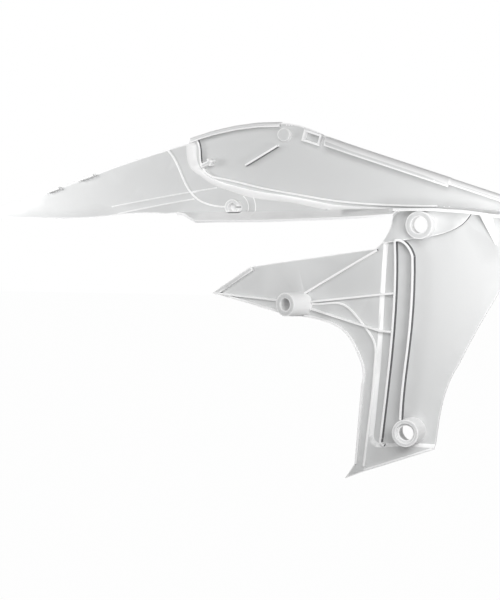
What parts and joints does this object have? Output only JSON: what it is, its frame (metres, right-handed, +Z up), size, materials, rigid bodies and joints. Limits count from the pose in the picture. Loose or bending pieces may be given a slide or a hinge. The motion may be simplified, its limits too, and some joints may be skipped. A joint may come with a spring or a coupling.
{
  "type": "motorcycle radiator shroud",
  "caption": "Left radiator shroud of a dirt bike: a thin moulded plastic panel with a long rear arm, a tank wing, a radiator pocket, ribs and bolt bosses.",
  "frame": {"origin": "centre of the end face of the upper radiator boss, where it meets the radiator", "axes": "+X forward along the bike, +Y outward from the bike, +Z up"},
  "size_m": [0.5945, 0.1293, 0.3689],
  "materials": {
    "radiator_shroud": "white moulded polypropylene with a satin inner side"
  },
  "bodies": {
    "root": {"radiator_shroud": "radiator_shroud"}
  },
  "joints": []
}
